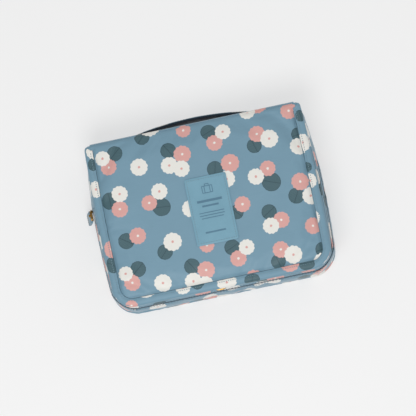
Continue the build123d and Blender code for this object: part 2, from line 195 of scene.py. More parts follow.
def rim(shape, inset=0.0, step=3.0 * MM):
    """The outline as a closed line of evenly spaced points, from the middle of the fold, anticlockwise."""
    corners = [(0, 1), (-1, 1), (-1, -1), (1, -1), (1, 1), (0, 1)]
    dense = []
    for (u0, v0), (u1, v1) in zip(corners, corners[1:]):
        for i in range(240):
            t = i / 240
            u, v = u0 + (u1 - u0) * t, v0 + (v1 - v0) * t
            dense.append(Vector((*outlined(shape, u, v, inset), 0)))
    dense.append(dense[0].copy())
    return evenly(dense, step)[:-1]


def evenly(points, step):
    """The same line with its points the same distance apart."""
    lengths = [0.0]
    for a, b in zip(points, points[1:]):
        lengths.append(lengths[-1] + (b - a).length)
    count = max(2, round(lengths[-1] / step))
    line, k = [], 0
    for i in range(count + 1):
        s = lengths[-1] * i / count
        while k < len(points) - 2 and lengths[k + 1] < s:
            k += 1
        span = lengths[k + 1] - lengths[k]
        line.append(points[k].lerp(points[k + 1], (s - lengths[k]) / span if span else 0))
    return line


def below(points, y):
    """The part of a closed rim that lies below a height, from its left end round to its right end."""
    return [p for p in points if p.y <= y]


# ---------------------------------------------------------------- materials
def new_material(name):
    """A material, its node tree and its shader."""
    material = bpy.data.materials.new(name)
    material.use_nodes = True
    return material, material.node_tree, material.node_tree.nodes["Principled BSDF"]


def feed(socket, value):
    """Links an input to where its value comes from, or sets it."""
    if isinstance(value, bpy.types.NodeSocket):
        socket.id_data.links.new(value, socket)
    else:
        socket.default_value = value


def set_inputs(n, **values):
    """Sets or links a node's inputs by name, with _ for each space."""
    for name, value in values.items():
        feed(n.inputs[name.replace("_", " ")], value)


def node(tree, kind, *inputs, **settings):
    """Adds a node, links or sets its inputs in order, and returns it."""
    n = tree.nodes.new(kind)
    for key, value in settings.items():
        setattr(n, key, value)
    for socket, value in zip(n.inputs, inputs):
        feed(socket, value)
    return n


def maths(tree, operation, *inputs, clamp=False):
    return node(tree, "ShaderNodeMath", *inputs, operation=operation, use_clamp=clamp).outputs[0]


def vector(tree, operation, *inputs):
    n = node(tree, "ShaderNodeVectorMath", *inputs, operation=operation)
    return n.outputs["Value"] if operation == "LENGTH" else n.outputs[0]


def mix(tree, factor, below_colour, above_colour):
    """One colour over another."""
    n = tree.nodes.new("ShaderNodeMix")
    n.data_type = "RGBA"
    for name, value in (("Factor_Float", factor), ("A_Color", below_colour), ("B_Color", above_colour)):
        feed(next(s for s in n.inputs if s.identifier == name), value)
    return next(s for s in n.outputs if s.identifier == "Result_Color")


def place_in_mm(tree):
    """Places on the object, in mm."""
    place = vector(tree, "SCALE", node(tree, "ShaderNodeTexCoord").outputs["Object"])
    set_inputs(place.node, Scale=1000.0)
    return place


def rgb(code):
    """A colour given as screen hex, as the shader's linear values."""
    values = [int(code[i:i + 2], 16) / 255 for i in (0, 2, 4)]
    return (*[c / 12.92 if c < 0.04045 else ((c + 0.055) / 1.055) ** 2.4 for c in values], 1.0)


SKY = rgb("779AAD")
SKY_DEEP = rgb("6B8D9F")
LEAF = rgb("47646C")
LEAF_DARK = rgb("223B43")
ROSE = rgb("D4A09A")
CREAM = rgb("E1E0DA")

# The repeat of the print, in mm, and its motifs: place, radius and kind, leaves first.
REPEAT = (254.0, 127.0)
LEAVES = [(-87, 75, 8.7), (-30, 66, 8.5), (16, 77, 8.5), (61, 52, 8.0), (110, 55, 8.0), (-102, 26, 9.3),
          (-49, 8, 9.8), (15, 36, 8.7), (71, 10, 10.2), (94, -10, 8.7), (-93, -20, 8.7), (-55, -40, 8.4),
          (28, -14, 7.8), (62, -21, 8.2)]
ROSES = [(-96, 62, 8.8), (-16, 59, 9.3), (20, 64, 8.7), (66, 64, 8.8), (-93, 15, 8.8), (-61, 15, 8.3),
         (32, 39, 9.8), (70, 25, 8.4), (101, 4, 9.4), (-80, -17, 8.9), (-10, -42, 8.0), (36, -7, 8.5),
         (73, -32, 8.7), (105, -45, 8.9)]
CREAMS = [(-101, 73, 8.0), (-64, 55, 9.3), (-32, 50, 9.0), (-20, 44, 8.8), (31, 74, 8.4), (78, 56, 9.6),
          (107, 42, 9.3), (-90, 31, 8.7), (-48, 25, 8.7), (25, 23, 9.0), (56, 19, 8.7), (109, -13, 9.2),
          (-45, -31, 9.8), (-19, 0, 9.2), (61, -36, 8.7)]

# The strip that binds the flap: places along it from its left end, and across it from its inner edge.
STRIP_REPEAT = (600.0, 60.0)
STRIP_LEAVES = [(20, 4, 6.8), (131, 4, 8.8), (260, 0, 7.5), (318, 10, 8.5), (379, 4, 8.8), (506, 3, 5.5),
                (562, 9, 6.5)]
STRIP_ROSES = [(114, 1.5, 9.5), (361, 0, 10.0), (186, 11, 7.0)]
STRIP_CREAMS = [(5, 1, 9.2), (47, 6, 9.0), (205, -4, 8.8), (244, 1.5, 8.2), (291, 6.5, 10.5), (451, -1, 7.0),
                (491, 3, 8.0), (533, 4.5, 9.5)]


def motif_group(name, sockets):
    """An empty node group with these inputs and one colour out."""
    group = bpy.data.node_groups.new(name, "ShaderNodeTree")
    for label, kind in sockets:
        group.interface.new_socket(label, in_out="INPUT", socket_type=kind)
    group.interface.new_socket("Colour", in_out="OUTPUT", socket_type="NodeSocketColor")
    start = group.nodes.new("NodeGroupInput")
    end = group.nodes.new("NodeGroupOutput")
    return group, start.outputs, end.inputs[0]


def from_centre(tree, place, centre, repeat):
    """The way from a motif's centre to here, the short way round the print's repeat."""
    half = (repeat[0] / 2, repeat[1] / 2, 1.0)
    return vector(tree, "WRAP", vector(tree, "SUBTRACT", place, centre), half, tuple(-h for h in half))


def blossom_group(repeat):
    """A flat blossom with a scalloped edge and a dot at its heart."""
    group, given, result = motif_group("blossom", [
        ("Place", "NodeSocketVector"), ("Below", "NodeSocketColor"), ("Centre", "NodeSocketVector"),
        ("Radius", "NodeSocketFloat"), ("Petals", "NodeSocketColor"), ("Heart", "NodeSocketColor")])
    way = from_centre(group, given["Place"], given["Centre"], repeat)
    distance = vector(group, "LENGTH", way)
    parts = node(group, "ShaderNodeSeparateXYZ", way)
    angle = maths(group, "ARCTAN2", parts.outputs[1], parts.outputs[0])
    turned = maths(group, "MULTIPLY_ADD", angle, 6.0, given["Radius"])
    lobes = maths(group, "ABSOLUTE", maths(group, "COSINE", turned))
    edge = maths(group, "MULTIPLY", given["Radius"], maths(group, "MULTIPLY_ADD", lobes, 0.085, 0.95))
    inside = maths(group, "MULTIPLY", maths(group, "SUBTRACT", edge, distance), 4.0, clamp=True)
    heart = maths(group, "MULTIPLY", maths(group, "SUBTRACT", 1.5, distance), 2.5, clamp=True)
    petals = mix(group, heart, given["Petals"], given["Heart"])
    group.links.new(mix(group, inside, given["Below"], petals), result)
    return group


def leaf_group(repeat):
    """A round leaf with a dark rim, a midrib and slanting veins."""
    group, given, result = motif_group("leaf", [
        ("Place", "NodeSocketVector"), ("Below", "NodeSocketColor"), ("Centre", "NodeSocketVector"),
        ("Radius", "NodeSocketFloat"), ("Turn", "NodeSocketFloat")])
    way = from_centre(group, given["Place"], given["Centre"], repeat)
    distance = vector(group, "LENGTH", way)
    turned = node(group, "ShaderNodeVectorRotate", way, rotation_type="Z_AXIS")
    set_inputs(turned, Angle=given["Turn"])
    parts = node(group, "ShaderNodeSeparateXYZ", turned.outputs[0])
    aside = maths(group, "ABSOLUTE", parts.outputs[0])
    midrib = maths(group, "MULTIPLY", maths(group, "SUBTRACT", 0.42, aside), 4.0, clamp=True)
    slant = maths(group, "PINGPONG", maths(group, "MULTIPLY_ADD", aside, -0.8, parts.outputs[1]), 1.05)
    veins = maths(group, "MULTIPLY", maths(group, "SUBTRACT", 0.3, slant), 2.6, clamp=True)
    rim_start = maths(group, "SUBTRACT", given["Radius"], 0.75)
    ring = maths(group, "MULTIPLY", maths(group, "SUBTRACT", distance, rim_start), 3.0, clamp=True)
    lines = maths(group, "MAXIMUM", maths(group, "MAXIMUM", midrib, veins), ring)
    blade = mix(group, maths(group, "MULTIPLY", lines, 0.82), LEAF, LEAF_DARK)
    inside = maths(group, "MULTIPLY", maths(group, "SUBTRACT", given["Radius"], distance), 4.0, clamp=True)
    group.links.new(mix(group, inside, given["Below"], blade), result)
    return group


def print_group(repeat, leaves, roses, creams):
    """The whole print: leaves, then rose blossoms, then cream ones, over the sky-blue cloth."""
    sockets = [("Place", "NodeSocketVector"), ("Cloth", "NodeSocketColor")]
    group, given, result = motif_group("floral_print", sockets)
    blossom, leaf = blossom_group(repeat), leaf_group(repeat)
    ragged = node(group, "ShaderNodeTexNoise", given["Place"])
    set_inputs(ragged, Scale=0.55, Detail=1.0)
    wander = vector(group, "MULTIPLY_ADD", ragged.outputs["Color"], (0.9, 0.9, 0.0), (-0.45, -0.45, 0.0))
    place = vector(group, "ADD", given["Place"], wander)
    colour = given["Cloth"]
    for i, (x, y, radius) in enumerate(leaves):
        given_here = (place, colour, (x, y, 0), radius, 0.9 + 1.7 * i)
        colour = node(group, "ShaderNodeGroup", *given_here, node_tree=leaf).outputs[0]
    for motifs, petals, heart in ((roses, ROSE, CREAM), (creams, CREAM, ROSE)):
        for x, y, radius in motifs:
            given_here = (place, colour, (x, y, 0), radius, petals, heart)
            colour = node(group, "ShaderNodeGroup", *given_here, node_tree=blossom).outputs[0]
    group.links.new(colour, result)
    return group


def bumped(tree, shader, height, strength, distance):
    """Gives the surface its fine relief."""
    bump = node(tree, "ShaderNodeBump")
    set_inputs(bump, Strength=strength, Distance=distance, Height=height)
    set_inputs(shader, Normal=bump.outputs[0])


def noisy(tree, place, scale, detail=2.0, stretch=(1, 1, 1)):
    """Smooth noise, drawn out along one way where stretch says so."""
    mapped = node(tree, "ShaderNodeMapping", place)
    set_inputs(mapped, Scale=stretch)
    texture = node(tree, "ShaderNodeTexNoise", mapped.outputs[0])
    set_inputs(texture, Scale=scale, Detail=detail)
    return texture.outputs[0]


def cloth_uv(tree, shift):
    """The cloth's own flat coordinates in mm, moved along so that pieces are cut from different places."""
    uv = node(tree, "ShaderNodeUVMap", uv_map="cloth").outputs[0]
    return vector(tree, "MULTIPLY_ADD", uv, (1000, 1000, 0), (*shift, 0))


def printed_cloth(name, shift=(0, 0), pattern=None):
    """Satin nylon with the floral print, fine crosswise threads and soft crumples."""
    material, tree, shader = new_material(name)
    place = cloth_uv(tree, shift)
    threads = noisy(tree, place, 0.9, 2.0, (0.05, 2.2, 1))
    clouds = noisy(tree, place, 0.03, 2.0)
    shade = maths(tree, "MULTIPLY_ADD", clouds, 0.5, maths(tree, "MULTIPLY", threads, 0.5), clamp=True)
    cloth = mix(tree, shade, SKY_DEEP, SKY)
    printed = node(tree, "ShaderNodeGroup", place, cloth, node_tree=pattern or PRINT)
    lengthwise = noisy(tree, place, 1.6, 1.0, (2.2, 0.1, 1))
    weave = maths(tree, "ADD", threads, maths(tree, "MULTIPLY", lengthwise, 0.6))
    crumple = maths(tree, "MULTIPLY", noisy(tree, place, 0.09, 3.0), 5.0)
    bumped(tree, shader, maths(tree, "ADD", weave, crumple), 0.35, 0.12 * MM)
    set_inputs(shader, Base_Color=printed.outputs[0], Roughness=0.5, Specular_IOR_Level=0.35,
               Sheen_Weight=0.18, Sheen_Roughness=0.4)
    return material


def plain_cloth(name, light, dark, rib=0.0, roughness=0.75):
    """Plain woven cloth or webbing, with ribs across it where rib gives their pitch in mm."""
    material, tree, shader = new_material(name)
    place = place_in_mm(tree)
    grain = noisy(tree, place, 1.4, 3.0)
    clouds = noisy(tree, place, 0.05, 2.0)
    shade = maths(tree, "MULTIPLY_ADD", clouds, 0.5, maths(tree, "MULTIPLY", grain, 0.5))
    set_inputs(shader, Base_Color=mix(tree, shade, dark, light))
    height = grain
    if rib:
        wave = node(tree, "ShaderNodeTexWave", place, wave_type="BANDS", bands_direction="DIAGONAL")
        set_inputs(wave, Scale=0.32 / rib)
        height = maths(tree, "MULTIPLY_ADD", wave.outputs["Fac"], 2.0, grain)
    bumped(tree, shader, height, 0.5, 0.15 * MM)
    set_inputs(shader, Roughness=roughness, Sheen_Weight=0.1)
    return material


def antique_brass(name):
    """Brass with a brown patina and worn, brighter patches, both laid out by noise."""
    material, tree, shader = new_material(name)
    place = place_in_mm(tree)
    patina = noisy(tree, place, 0.7, 4.0)
    tone = mix(tree, patina, rgb("5E4524"), rgb("B89356"))
    worn = maths(tree, "MULTIPLY_ADD", patina, 0.25, 0.22)
    set_inputs(shader, Base_Color=tone, Roughness=worn, Metallic=1.0)
    bumped(tree, shader, noisy(tree, place, 2.5, 3.0), 0.15, 0.05 * MM)
    return material


def coil_plastic(name):
    """Dark, slightly glossy plastic."""
    material, tree, shader = new_material(name)
    place = place_in_mm(tree)
    tone = mix(tree, noisy(tree, place, 0.4, 2.0), rgb("2B3C4B"), rgb("3D5365"))
    set_inputs(shader, Base_Color=tone, Roughness=0.35)
    return material


def leatherette(name, light, dark):
    """Embossed leatherette: a pebbled grain, slightly darker towards the edges of its grain cells."""
    material, tree, shader = new_material(name)
    place = place_in_mm(tree)
    grain = node(tree, "ShaderNodeTexVoronoi", place, feature="F1")
    set_inputs(grain, Scale=1.3)
    clouds = noisy(tree, place, 0.06, 3.0)
    lifted = maths(tree, "ADD", clouds, 0.25)
    shade = maths(tree, "MULTIPLY_ADD", grain.outputs["Distance"], -0.35, lifted, clamp=True)
    set_inputs(shader, Base_Color=mix(tree, shade, dark, light))
    bumped(tree, shader, grain.outputs["Distance"], 0.25, 0.12 * MM)
    set_inputs(shader, Roughness=0.55, Specular_IOR_Level=0.4)
    return material


PRINT = print_group(REPEAT, LEAVES, ROSES, CREAMS)
STRIP_PRINT = print_group(STRIP_REPEAT, STRIP_LEAVES, STRIP_ROSES, STRIP_CREAMS)
FRONT_CLOTH = printed_cloth("front_print")
SIDE_CLOTH = printed_cloth("side_print", (31, 12))
BINDING_CLOTH = printed_cloth("binding_print", (60, 18))
STRIP_CLOTH = printed_cloth("strip_print", (0, 0), STRIP_PRINT)
PLAIN_SKY = plain_cloth("plain_sky", rgb("7E9CAE"), rgb("6C8A9C"), 0, 0.55)
LINING = plain_cloth("lining", rgb("8CA3B1"), rgb("788F9E"), 0, 0.6)
TAPE = plain_cloth("zip_tape", rgb("2A3B4B"), rgb("1B2833"), 1.0, 0.8)
WEBBING = plain_cloth("webbing", rgb("3A4F5F"), rgb("2A3C4A"), 1.2, 0.8)
ELASTIC = plain_cloth("elastic", rgb("33475A"), rgb("223240"), 1.5, 0.7)
NET = plain_cloth("net", rgb("3C5060"), rgb("2C3E4C"), 0, 0.6)
FUZZ = plain_cloth("hook_and_loop", rgb("2F404F"), rgb("1D2A35"), 0.8, 0.95)
# Painted shade: the colour of a thin dark strip laid in the groove between the flap's binding and its cover.
SEAM_SHADE = plain_cloth("seam_groove_painted_shade", rgb("56737F"), rgb("405C69"), 0, 0.8)
THREAD = plain_cloth("thread", rgb("86A2AF"), rgb("4C6A79"), 0, 0.6)
BRASS = antique_brass("antique_brass")
COIL = coil_plastic("zip_coil")
PATCH = leatherette("patch", rgb("77A2B5"), rgb("6A95A8"))
MARK = leatherette("patch_mark", rgb("587F94"), rgb("4B7085"))


# ---------------------------------------------------------------- ways of making a piece
def cloth_map(obj, place_of):
    """Writes the cloth's flat coordinates, in metres, from each face corner's place."""
    mesh = obj.data
    if mesh.uv_layers:
        mesh.uv_layers[0].name = "cloth"
    else:
        mesh.uv_layers.new(name="cloth")
    uv = mesh.uv_layers[0].data
    for polygon in mesh.polygons:
        for i in polygon.loop_indices:
            uv[i].uv = place_of(polygon, mesh.vertices[mesh.loops[i].vertex_index].co)
    return obj


def edge_distance(shape, x, y, inset=0.0):
    """How far a place is inside the panel's sides and ends."""
    return min(half_width(shape, y) - inset - abs(x), HALF_HEIGHT - inset - abs(y))


def panel(shape, z, inset=0.0, cells=(48, 36), roll=0.0, up=1):
    """A flat panel in the bag's outline, with its rim rolled over by a small radius."""
    bpy.ops.mesh.primitive_grid_add(x_subdivisions=cells[0], y_subdivisions=cells[1], size=2)
    obj = bpy.context.object
    obj.data.uv_layers[0].name = "cloth"
    for v in obj.data.vertices:
        x, y = outlined(shape, v.co.x, v.co.y, inset)
        drop = 0.0
        if roll:
            reach = max(0.0, 1 - max(0.0, edge_distance(shape, x, y, inset)) / roll)
            drop = roll * (1 - math.sqrt(max(0.0, 1 - reach * reach)))
        v.co = (x, y, z - up * drop)
    cloth_map(obj, lambda polygon, co: (co.x, co.y))
    if up < 0:
        start_edit(obj)
        bpy.ops.mesh.flip_normals()
        end_edit()
    return obj


def tray(shape, face_z, edge_z, inset=0.0, cells=(64, 48), roll=3.0 * MM, rings=8):
    """A panel with its rim extruded into a wall, open on the side that the wall ends at."""
    up = 1 if face_z > edge_z else -1
    obj = panel(shape, face_z, inset, cells, roll, up)
    face_points = len(obj.data.vertices)
    start_z = face_z - up * roll
    start_edit(obj, "DESELECT")
    bpy.ops.mesh.select_mode(type="EDGE")
    bpy.ops.mesh.select_non_manifold()
    for _ in range(rings):
        bpy.ops.mesh.extrude_region_move(TRANSFORM_OT_translate={"value": (0, 0, (edge_z - start_z) / rings)})
    end_edit()
    line = rim(shape, inset, 1.0 * MM)
    step = sum((b - a).length for a, b in zip(line, line[1:])) / (len(line) - 1)
    whole = len(line) * step
    found = {}

    def along_rim(co):
        key = (round(co.x, 6), round(co.y, 6))
        if key not in found:
            flat = Vector((co.x, co.y, 0))
            found[key] = min(range(len(line)), key=lambda i: (line[i] - flat).length_squared) * step
        return found[key]

    def place_of(polygon, co):
        if max(polygon.vertices) < face_points:
            return co.x, co.y
        s = along_rim(co)
        if polygon.center.x < 0 and s > whole * 0.75:
            s -= whole
        if polygon.center.x > 0 and s < whole * 0.25:
            s += whole
        return s, co.z

    return cloth_map(obj, place_of)


def swell(obj, held, pressure, slack, cap_of, limit_of=None):
    """Blows soft cloth up between the seams that hold it, as padding does, and then keeps it within a cap."""
    rest = [v.co.copy() for v in obj.data.vertices]
    group = obj.vertex_groups.new(name="seams")
    group.add([i for i, co in enumerate(rest) if held(co)], 1.0, "REPLACE")
    cloth = obj.modifiers.new("cloth", "CLOTH")
    settings = cloth.settings
    settings.quality = 6
    settings.mass = 0.2
    settings.tension_stiffness = settings.compression_stiffness = 18
    settings.shear_stiffness = 6
    settings.bending_stiffness = 0.4
    settings.tension_damping = settings.compression_damping = 8
    settings.shrink_min = -slack
    settings.vertex_group_mass = "seams"
    settings.use_pressure = True
    settings.uniform_pressure_force = pressure
    settings.effector_weights.gravity = 0
    scene = bpy.context.scene
    scene.frame_start, scene.frame_end = 1, SWELL_STEPS
    cloth.point_cache.frame_start, cloth.point_cache.frame_end = 1, SWELL_STEPS
    for step in range(1, SWELL_STEPS + 1):
        scene.frame_set(step)
    finish_modifiers(obj)
    scene.frame_set(1)
    for v, start in zip(obj.data.vertices, rest):
        move = v.co - start
        cap = cap_of(start)
        if move.length > cap:
            v.co = start + move * (cap / move.length)
        if limit_of:
            v.co = limit_of(v.co)
    obj.vertex_groups.clear()
    return obj


def lean(obj):
    """Draws the lid's soft wall in towards the cover at its top, except on the fold's side."""
    for v in obj.data.vertices:
        share = max(0.0, min(1.0, (v.co.z - LEAN_START) / (LID_FRONT - LEAN_START)))
        inward = LEAN * share * share * (3 - 2 * share)
        v.co.x *= 1 - inward / BODY[1]
        if v.co.y < 0:
            v.co.y *= 1 - inward / HALF_HEIGHT
    return obj


def crumple(obj, amount, size, seed, keep=lambda co: 1.0):
    """Soft folds of cloth: every point moves along its normal by a smooth noise."""
    offset = Vector((seed * 7.3, seed * 3.1, seed * 5.7))
    normals = [v.normal.copy() for v in obj.data.vertices]
    for v, normal in zip(obj.data.vertices, normals):
        v.co += normal * amount * keep(v.co) * noise.noise(v.co / size + offset)
    return obj


def in_mm(points):
    return [(a * MM, b * MM) for a, b in points]


def line_through(name, points, closed):
    """A curve that runs straight from point to point."""
    curve = bpy.data.curves.new(name, "CURVE")
    curve.dimensions = "3D"
    spline = curve.splines.new("POLY")
    spline.points.add(len(points) - 1)
    for p, place in zip(spline.points, points):
        p.co = (*place, 1)
    spline.use_cyclic_u = closed
    return new_object(name, curve)


def band(route, points, closed=False):
    """A strip of cloth run along a line: points are its section, outwards from the line and up."""
    outline = line_through("section", [(a, b, 0) for a, b in points], True)
    obj = line_through("band", route, closed)
    curve = obj.data
    curve.twist_mode = "Z_UP"
    curve.bevel_mode = "OBJECT"
    curve.bevel_object = outline
    curve.use_fill_caps = not closed
    only(obj)
    bpy.ops.object.convert(target="MESH")
    obj = bpy.context.object
    bpy.data.objects.remove(outline)
    long = sum((b - a).length for a, b in zip(route, route[1:]))
    wide = sum(math.dist(a, b) for a, b in zip(points, points[1:] + points[:1]))
    uv = obj.data.uv_layers[0]
    uv.name = "cloth"
    for loop in uv.data:
        loop.uv = (loop.uv[0] * long, loop.uv[1] * wide)
    return outwards(obj)


def scatter(template, places):
    """Copies one small shape to many places: each has a point, a way along and a way out."""
    template.data.uv_layers.remove(template.data.uv_layers[0])
    copies = []
    for point, along, out in places:
        along = along.normalized()
        side = out.cross(along).normalized()
        turn = Matrix((along, side, along.cross(side))).transposed().to_4x4()
        copy = new_object("copy", template.data.copy())
        copy.data.transform(Matrix.Translation(point) @ turn)
        copies.append(copy)
    bpy.data.objects.remove(template)
    row = join(copies)
    for polygon in row.data.polygons:
        polygon.use_smooth = True
    return row


def stitch_shape(length=2.0 * MM, width=0.75 * MM):
    """One stitch: a flattened bead of thread."""
    bpy.ops.mesh.primitive_uv_sphere_add(segments=8, ring_count=5, radius=0.5, rotation=(0, math.pi / 2, 0))
    obj = settle(bpy.context.object)
    obj.scale = (length, width, width * 0.7)
    return settle(obj)


def along_route(route, closed=False):
    """Each point of a route with the way along it."""
    count = len(route)
    for i, p in enumerate(route):
        before = route[i - 1] if (closed or i) else p
        after = route[(i + 1) % count] if (closed or i < count - 1) else p
        yield p, (after - before)


def stitched(route, out=None, closed=False, **shape):
    """A row of stitches along a line of points. Without a given way out, they face away from the wall."""
    places = [(p, way, out if out else way.cross(UP).normalized()) for p, way in along_route(route, closed)]
    return scatter(stitch_shape(**shape), places)


def laid_on(surface, points, way, lift):
    """The points moved along a way until they lie on a surface."""
    bpy.context.view_layer.update()
    laid = []
    for p in points:
        hit, place, _, _ = surface.ray_cast(p - way * 30 * MM, way, distance=60 * MM)
        laid.append((place if hit else p) - way * lift)
    return laid


def refined(node_name, bevel=0.25 * MM):
    """A hard part with its edges broken, made from a copy of its frame node."""
    source = bpy.data.objects[node_name]
    obj = new_object(node_name + "_fine", source.data.copy())
    start_edit(obj)
    bpy.ops.mesh.remove_doubles(threshold=0.01 * MM)
    bpy.ops.mesh.dissolve_limited(angle_limit=math.radians(2))
    end_edit()
    modifier(obj, "BEVEL", width=bevel, segments=2, limit_method="ANGLE", angle_limit=math.radians(35))
    finish_modifiers(obj)
    return smooth(obj, 40)


def dress(node_name, material):
    """Gives a frame node that stays its material."""
    obj = bpy.data.objects[node_name]
    obj.data.materials.clear()
    obj.data.materials.append(material)


# ---------------------------------------------------------------- the rear half
def wall_cap(co):
    """How far a wall may bulge: less at the sides, where the slider runs."""
    return 1.3 * MM if abs(co.x) > 100 * MM else 2.0 * MM


def flat_back(co):
    """The back lies flat, and the top wall stays clear of the handle."""
    return Vector((co.x, min(co.y, HALF_HEIGHT + 0.2 * MM), max(co.z, 0.05 * MM)))


def make_rear_shell():
    shell = tray(BODY, 0.1 * MM, SPLIT_REAR, roll=2.5 * MM)
    swell(shell, lambda co: co.z < 4 * MM or co.z > SPLIT_REAR - 1 * MM, 5.0, 0.03, wall_cap, flat_back)
    crumple(shell, 0.9 * MM, 16 * MM, 1, lambda co: 1.0 if 5 * MM < co.z < SPLIT_REAR - 4 * MM else 0.0)
    thickened(shell, CLOTH, -1, finer=True)
    for v in shell.data.vertices:
        v.co = flat_back(v.co)
    smooth(shell, 60)
    return piece(shell, "rear_shell", "rear_half", SIDE_CLOTH, "print_cloth",
                 "rear_gusset", "back_panel", "back_foam")


def make_rear_lining():
    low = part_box("rear_lining")[0].z
    lining = tray(BODY, low + 0.8 * MM, SPLIT_REAR - 1 * MM, 2.9 * MM, cells=(48, 36), roll=4 * MM, rings=5)
    crumple(lining, 0.5 * MM, 22 * MM, 2)
    thickened(lining, 0.5 * MM)
    smooth(lining, 60)
    return piece(lining, "rear_lining_cloth", "rear_half", LINING, "lining_cloth", "rear_lining")


# Sections of the rolled bindings in mm: outwards from the wall, and height above the back.
BACK_ROLL = [(-0.3, 5.6), (0.5, 5.4), (1.1, 4.4), (1.35, 3.0), (1.2, 1.4), (0.5, 0.35), (-1.0, 0.1),
             (-4.0, 0.1), (-4.2, 0.5), (-1.0, 1.2), (-0.4, 2.5)]
LID_ROLL = [(-0.4, 51.6), (0.5, 51.9), (1.15, 53.0), (1.35, 54.6), (1.2, 56.3), (0.4, 57.5), (-1.2, 57.95),
            (-4.6, 57.9), (-5.0, 57.3), (-1.4, 56.6), (-0.5, 54.5)]


def make_body_binding(name, body, points, replaced):
    """The rolled binding that closes the seam between a wall and its panel."""
    route = rim(BODY, 0, 2.5 * MM)
    ring = band(route, in_mm(points), closed=True)
    crumple(ring, 0.35 * MM, 5 * MM, 3)
    if body == "lid":
        lean(ring)
    smooth(ring, 70)
    return piece(ring, name, body, BINDING_CLOTH, "print_cloth", replaced)


def wall_stitches(name, surface, body, z):
    """A row of stitches on a wall, along the zip."""
    route = below(rim(BODY, 0, 3.2 * MM), ZIP_END)
    placed = []
    for p, way in along_route(route):
        out = way.cross(UP).normalized()
        start = Vector((p.x, p.y, z))
        placed.append((laid_on(surface, [start], -out, 0.1 * MM)[0], way, out))
    stitches = scatter(stitch_shape(), placed)
    return piece(stitches, name, body, THREAD, "print_cloth")


def make_handle():
    """The strap with its two stitched ends flat on the wall and its bow between them."""
    strap, bow = 2.4 * MM, 10.3 * MM
    end_x, span = handle_high.x - 1 * MM, 82 * MM
    middle_z = (handle_low.z + handle_high.z) / 2
    half = (handle_high.z - handle_low.z) / 2
    line = []
    for i in range(97):
        x = end_x - 2 * end_x * i / 96
        rise = max(0.0, 1 - (abs(x) / span) ** 2)
        ease = rise * rise * (3 - 2 * rise) if rise < 0.35 else rise
        line.append(Vector((x, HALF_HEIGHT + strap / 2 + 0.1 * MM + bow * ease, middle_z)))
    rounded = 1.6 * MM
    points = [(-1.0, -half), (0.0, -half - 0.1 * MM), (1.0, -half), (1.15, -half + rounded), (1.3, 0),
              (1.15, half - rounded), (1.0, half), (0.0, half + 0.1 * MM), (-1.0, half), (-1.1, 0)]
    strip = band(line, [(a * MM, b) for a, b in points])
    crumple(strip, 0.3 * MM, 14 * MM, 4)
    smooth(strip, 50)
    piece(strip, "handle_strap", "rear_half", BINDING_CLOTH, "print_cloth", "carry_handle")
    # The dark band on the inside of the bow, rising a little past the strap's edges: a dark lining whose
    # colour also serves as painted shade in the gap under the handle.
    edge = half + 0.3 * MM
    points = [(-1.45 * MM, -edge + 0.5 * MM), (-1.2 * MM, -edge), (0.5 * MM, -edge), (0.5 * MM, edge),
              (-1.2 * MM, edge), (-1.45 * MM, edge - 0.5 * MM)]
    inside = smooth(band([p for p in line if abs(p.x) < span - 3 * MM], points), 50)
    piece(inside, "handle_lining", "rear_half", TAPE, "webbing")
    away = Vector((0, 1, 0))
    rows = []
    for side in (-1, 1):
        edge_z = middle_z + side * (half - 2.2 * MM)
        route = evenly([Vector((p.x, p.y, edge_z)) for p in line], 3.2 * MM)
        rows.append(stitched([p + away * 1.25 * MM for p in route], away))
    for side in (-1, 1):
        outer, inner, reach = side * (end_x - 2 * MM), side * (span + 1.5 * MM), 7.2 * MM
        corners = [(outer, -reach), (inner, -reach), (inner, reach), (outer, reach), (inner, -reach),
                   (outer, -reach), (inner, reach)]
        route = evenly([Vector((x, HALF_HEIGHT + 2.55 * MM, middle_z + z)) for x, z in corners], 2.8 * MM)
        rows.append(stitched(route, away))
    piece(join(rows), "handle_stitches", "rear_half", THREAD, "print_cloth")


# ---------------------------------------------------------------- the main zip
# The heights of the zip's two tapes above the back, in mm.
REAR_TAPE, LID_TAPE = (28.2, 39.4), (40.6, 50.0)


def zip_route(inset, z, step):
    """The way of the zip: down one side, along the free edge and up the other side."""
    return [Vector((p.x, p.y, z)) for p in below(rim(BODY, inset, step), ZIP_END)]


def tooth_shape():
    """One tooth of the coil, with its edges broken."""
    bpy.ops.mesh.primitive_cube_add(size=1)
    tooth = bpy.context.object
    tooth.scale = (0.95 * MM, 1.5 * MM, 1.9 * MM)
    settle(tooth)
    modifier(tooth, "BEVEL", width=0.32 * MM, segments=1)
    return finish_modifiers(tooth)


def make_zip():
    """The zip's two tapes, their rows of teeth, and the brass slider, link and stops."""
    for half, body, (low, high) in (("rear", "rear_half", REAR_TAPE), ("lid", "lid", LID_TAPE)):
        points = in_mm([(-0.35, low), (0.35, low), (0.35, high), (-0.35, high)])
        tape = smooth(band(zip_route(1.6 * MM, 0, 2.5 * MM), points), 40)
        piece(tape, f"zip_tape_{half}_cloth", body, TAPE, "zip_tape", f"zip_tape_{half}")
    for half, body in (("rear", "rear_half"), ("lid", "lid")):
        low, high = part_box(f"zip_coil_{half}")
        route = zip_route(0.3 * MM, (low.z + high.z) / 2, 1.5 * MM)
        teeth = scatter(tooth_shape(), [(p, way, way.cross(UP)) for p, way in along_route(route)])
        piece(teeth, f"zip_teeth_{half}", body, COIL, "zip_coil", f"zip_coil_{half}")
    for name, body, bevel in (("zip_slider", "main_slider", 0.3 * MM), ("puller_link", "link", 0.22 * MM),
                              ("zip_stops", "rear_half", 0.22 * MM)):
        piece(refined(name, bevel), name + "_brass", body, BRASS, "brass", name)


